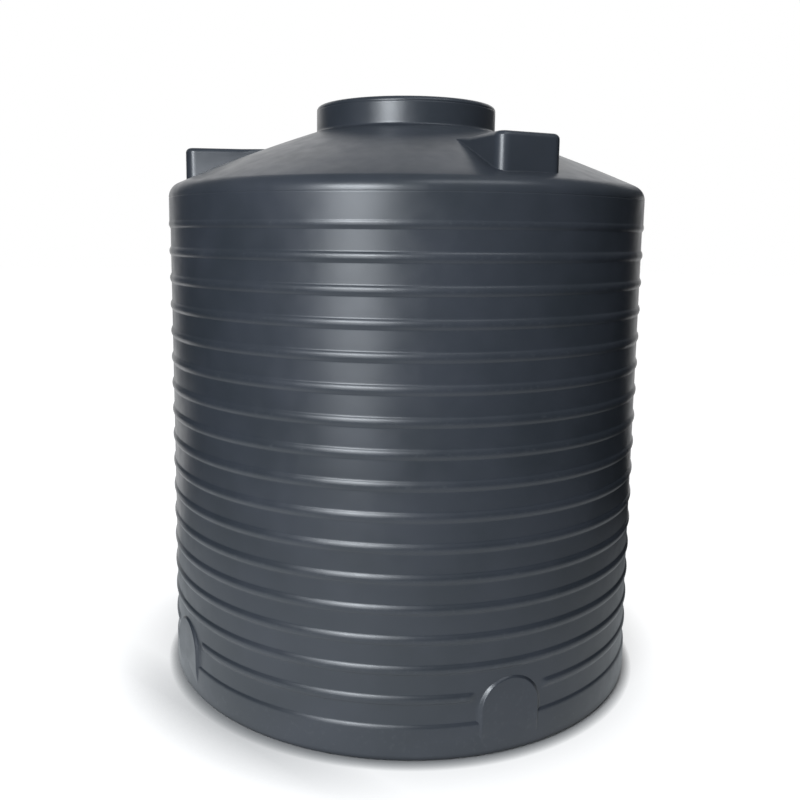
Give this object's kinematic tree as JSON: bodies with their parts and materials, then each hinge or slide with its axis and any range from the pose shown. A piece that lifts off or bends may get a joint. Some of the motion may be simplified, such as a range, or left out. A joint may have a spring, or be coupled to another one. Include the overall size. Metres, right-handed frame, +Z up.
{
  "type": "plastic tank",
  "caption": "Upright round moulded tank with a ribbed wall, a coned roof, an open manhole neck, raised inlet bosses and flat arched outlet pads.",
  "frame": {"origin": "middle of the flat base, on the ground", "axes": "+Z up along the tank's axis; -Y points out through the first outlet pad, beside the first inlet boss"},
  "size_m": [1.8314, 1.82, 2.168],
  "materials": {
    "tank_plastic": "satin"
  },
  "bodies": {
    "root": {"floor": "tank_plastic", "manhole_neck": "tank_plastic", "wall_segment_01": "tank_plastic", "wall_segment_02": "tank_plastic", "wall_segment_03": "tank_plastic", "wall_segment_04": "tank_plastic", "wall_segment_05": "tank_plastic", "wall_segment_06": "tank_plastic", "wall_segment_07": "tank_plastic", "wall_segment_08": "tank_plastic", "wall_segment_09": "tank_plastic", "wall_segment_10": "tank_plastic", "wall_segment_11": "tank_plastic", "wall_segment_12": "tank_plastic", "wall_segment_13": "tank_plastic", "wall_segment_14": "tank_plastic", "wall_segment_15": "tank_plastic", "wall_segment_16": "tank_plastic", "roof_segment_01": "tank_plastic", "roof_segment_02": "tank_plastic", "roof_segment_03": "tank_plastic", "roof_segment_04": "tank_plastic", "roof_segment_05": "tank_plastic", "roof_segment_06": "tank_plastic", "roof_segment_07": "tank_plastic", "roof_segment_08": "tank_plastic", "roof_segment_09": "tank_plastic", "roof_segment_10": "tank_plastic", "roof_segment_11": "tank_plastic", "roof_segment_12": "tank_plastic", "inlet_boss_1": "tank_plastic", "inlet_boss_2": "tank_plastic", "inlet_boss_3": "tank_plastic", "outlet_pad_1": "tank_plastic", "outlet_pad_2": "tank_plastic", "outlet_pad_3": "tank_plastic", "outlet_pad_4": "tank_plastic"}
  },
  "joints": []
}
